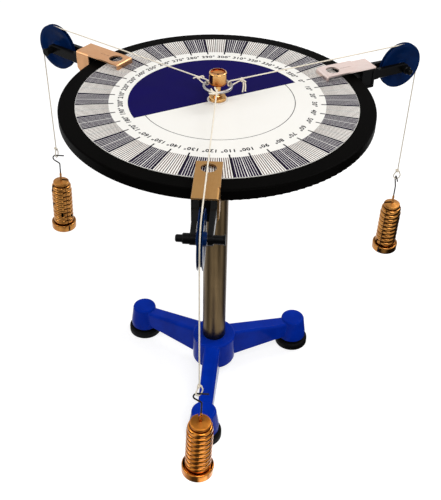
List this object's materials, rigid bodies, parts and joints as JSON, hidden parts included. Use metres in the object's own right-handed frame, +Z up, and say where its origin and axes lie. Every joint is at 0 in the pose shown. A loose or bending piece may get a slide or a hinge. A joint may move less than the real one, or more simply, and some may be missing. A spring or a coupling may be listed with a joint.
{
  "type": "force table",
  "caption": "Force table: round board with a degree scale on a levelling tripod, rim clamps with pulleys, and strings from a ring to hangers of slotted brass masses.",
  "frame": {"origin": "on the floor, on the column's axis", "axes": "+Z up along the column, +X to the right and +Y away from the viewer of the picture"},
  "size_m": [0.5726, 0.5285, 0.5185],
  "materials": {
    "enamel_blue": "glossy",
    "column_steel": "polished",
    "steel": "satin",
    "board_black": "lacquered",
    "card_white": "laminated",
    "washer_white": "glossy",
    "brass": "polished",
    "pad_rubber": "matt",
    "sheet_metal": "bare",
    "fork_black": "glossy",
    "pulley_blue": "glossy",
    "cord": "twisted",
    "hook_steel": "dark"
  },
  "bodies": {
    "stand": {"tripod_base": "enamel_blue", "column": "column_steel", "column_plug": "steel", "column_bolt": "steel", "column_washer": "steel", "board_flange": "steel", "flange_screws": "steel", "table_board": "board_black", "dial_card": "card_white", "post_washer": "washer_white", "post_collar": "brass"},
    "pin": {"centre_post": "brass", "post_knob": "brass"},
    "ring": {"force_ring": "steel"},
    "pad_1": {"foot_pad_1": "pad_rubber"},
    "stud_1": {"foot_stud_1": "steel"},
    "pad_2": {"foot_pad_2": "pad_rubber"},
    "stud_2": {"foot_stud_2": "steel"},
    "pad_3": {"foot_pad_3": "pad_rubber"},
    "stud_3": {"foot_stud_3": "steel"},
    "clamp_front": {"bracket_front": "sheet_metal", "pulley_fork_front": "fork_black", "fork_screws_front": "steel", "pulley_axle_front": "steel", "axle_knob_front": "fork_black", "axle_cap_front": "fork_black", "string_front": "cord"},
    "wheel_front": {"pulley_front": "pulley_blue"},
    "press_front": {"press_disc_front": "steel"},
    "screw_front": {"clamp_screw_front": "steel"},
    "hanger_front": {"hanger_base_front": "brass", "hanger_rod_front": "hook_steel"},
    "stack_front": {"masses_front": "brass"},
    "clamp_right": {"bracket_right": "sheet_metal", "pulley_fork_right": "fork_black", "fork_screws_right": "steel", "pulley_axle_right": "steel", "axle_knob_right": "fork_black", "axle_cap_right": "fork_black", "string_right": "cord"},
    "wheel_right": {"pulley_right": "pulley_blue"},
    "press_right": {"press_disc_right": "steel"},
    "screw_right": {"clamp_screw_right": "steel"},
    "hanger_right": {"hanger_base_right": "brass", "hanger_rod_right": "hook_steel"},
    "stack_right": {"masses_right": "brass"},
    "clamp_left": {"bracket_left": "sheet_metal", "pulley_fork_left": "fork_black", "fork_screws_left": "steel", "pulley_axle_left": "steel", "axle_knob_left": "fork_black", "axle_cap_left": "fork_black", "string_left": "cord"},
    "wheel_left": {"pulley_left": "pulley_blue"},
    "press_left": {"press_disc_left": "steel"},
    "screw_left": {"clamp_screw_left": "steel"},
    "hanger_left": {"hanger_base_left": "brass", "hanger_rod_left": "hook_steel"},
    "stack_left": {"masses_left": "brass"}
  },
  "joints": [
    {"name": "pin_lift", "type": "slide", "parent": "stand", "child": "pin", "axis": [0, 0, 1], "range_m": [0, 0.045]},
    {"name": "ring_turn", "type": "hinge", "parent": "stand", "child": "ring", "pos_m": [0, 0, 0.499], "axis": [0, 0, 1], "continuous": true},
    {"name": "pad_1_drop", "type": "slide", "parent": "stand", "child": "pad_1", "axis": [0, 0, -1], "range_m": [0, 0.012]},
    {"name": "stud_1_turn", "type": "hinge", "parent": "pad_1", "child": "stud_1", "pos_m": [-0.01163, -0.14152, 0.012], "axis": [0, 0, -1], "range_deg": [0, 2880]},
    {"name": "pad_2_drop", "type": "slide", "parent": "stand", "child": "pad_2", "axis": [0, 0, -1], "range_m": [0, 0.012]},
    {"name": "stud_2_turn", "type": "hinge", "parent": "pad_2", "child": "stud_2", "pos_m": [0.12838, 0.06069, 0.012], "axis": [0, 0, -1], "range_deg": [0, 2880]},
    {"name": "pad_3_drop", "type": "slide", "parent": "stand", "child": "pad_3", "axis": [0, 0, -1], "range_m": [0, 0.012]},
    {"name": "stud_3_turn", "type": "hinge", "parent": "pad_3", "child": "stud_3", "pos_m": [-0.11674, 0.08084, 0.012], "axis": [0, 0, -1], "range_deg": [0, 2880]},
    {"name": "clamp_front_swing", "type": "hinge", "parent": "stand", "child": "clamp_front", "pos_m": [0, 0, 0.48], "axis": [0, 0, 1], "range_deg": [-50, 50]},
    {"name": "wheel_front_turn", "type": "hinge", "parent": "clamp_front", "child": "wheel_front", "pos_m": [-0.01168, -0.27875, 0.473], "axis": [0.9991, -0.0419, 0], "continuous": true},
    {"name": "press_front_drop", "type": "slide", "parent": "clamp_front", "child": "press_front", "axis": [0, 0, -1], "range_m": [0, 0.0038]},
    {"name": "screw_front_turn", "type": "hinge", "parent": "press_front", "child": "screw_front", "pos_m": [-0.00662, -0.15786, 0.461], "axis": [0, 0, -1], "range_deg": [0, 1368]},
    {"name": "hanger_front_swing", "type": "hinge", "parent": "clamp_front", "child": "hanger_front", "pos_m": [-0.01293, -0.30853, 0.276], "axis": [0.9991, 0, -0.0419], "range_deg": [-15, 15]},
    {"name": "stack_front_lift", "type": "slide", "parent": "hanger_front", "child": "stack_front", "axis": [0.0419, 0, 0.9991], "range_m": [0, 0.025]},
    {"name": "clamp_right_swing", "type": "hinge", "parent": "stand", "child": "clamp_right", "pos_m": [0, 0, 0.48], "axis": [0, 0, 1], "range_deg": [-50, 50]},
    {"name": "wheel_right_turn", "type": "hinge", "parent": "clamp_right", "child": "wheel_right", "pos_m": [0.25012, 0.12362, 0.473], "axis": [-0.4431, 0.8965, 0], "continuous": true},
    {"name": "press_right_drop", "type": "slide", "parent": "clamp_right", "child": "press_right", "axis": [0, 0, -1], "range_m": [0, 0.0038]},
    {"name": "screw_right_turn", "type": "hinge", "parent": "press_right", "child": "screw_right", "pos_m": [0.14164, 0.07, 0.461], "axis": [0, 0, -1], "range_deg": [0, 1368]},
    {"name": "hanger_right_swing", "type": "hinge", "parent": "clamp_right", "child": "hanger_right", "pos_m": [0.27683, 0.13682, 0.279], "axis": [0, -0.9991, -0.0419], "range_deg": [-15, 15]},
    {"name": "stack_right_lift", "type": "slide", "parent": "hanger_right", "child": "stack_right", "axis": [0, -0.0419, 0.9991], "range_m": [0, 0.025]},
    {"name": "clamp_left_swing", "type": "hinge", "parent": "stand", "child": "clamp_left", "pos_m": [0, 0, 0.48], "axis": [0, 0, 1], "range_deg": [-50, 50]},
    {"name": "wheel_left_turn", "type": "hinge", "parent": "clamp_left", "child": "wheel_left", "pos_m": [-0.2291, 0.15923, 0.473], "axis": [-0.5707, -0.8211, 0], "continuous": true},
    {"name": "press_left_drop", "type": "slide", "parent": "clamp_left", "child": "press_left", "axis": [0, 0, -1], "range_m": [0, 0.0038]},
    {"name": "screw_left_turn", "type": "hinge", "parent": "press_left", "child": "screw_left", "pos_m": [-0.12974, 0.09017, 0.461], "axis": [0, 0, -1], "range_deg": [0, 1368]},
    {"name": "hanger_left_swing", "type": "hinge", "parent": "clamp_left", "child": "hanger_left", "pos_m": [-0.25357, 0.17624, 0.281], "axis": [0.9991, 0, -0.0419], "range_deg": [-15, 15]},
    {"name": "stack_left_lift", "type": "slide", "parent": "hanger_left", "child": "stack_left", "axis": [0.0419, 0, 0.9991], "range_m": [0, 0.025]}
  ],
  "couplings": [
    {"joint": "stud_1_turn", "follows": "pad_1_drop", "rad_per_m": 4188.8},
    {"joint": "stud_2_turn", "follows": "pad_2_drop", "rad_per_m": 4188.8},
    {"joint": "stud_3_turn", "follows": "pad_3_drop", "rad_per_m": 4188.8},
    {"joint": "screw_front_turn", "follows": "press_front_drop", "rad_per_m": 6283.2},
    {"joint": "screw_right_turn", "follows": "press_right_drop", "rad_per_m": 6283.2},
    {"joint": "screw_left_turn", "follows": "press_left_drop", "rad_per_m": 6283.2}
  ]
}
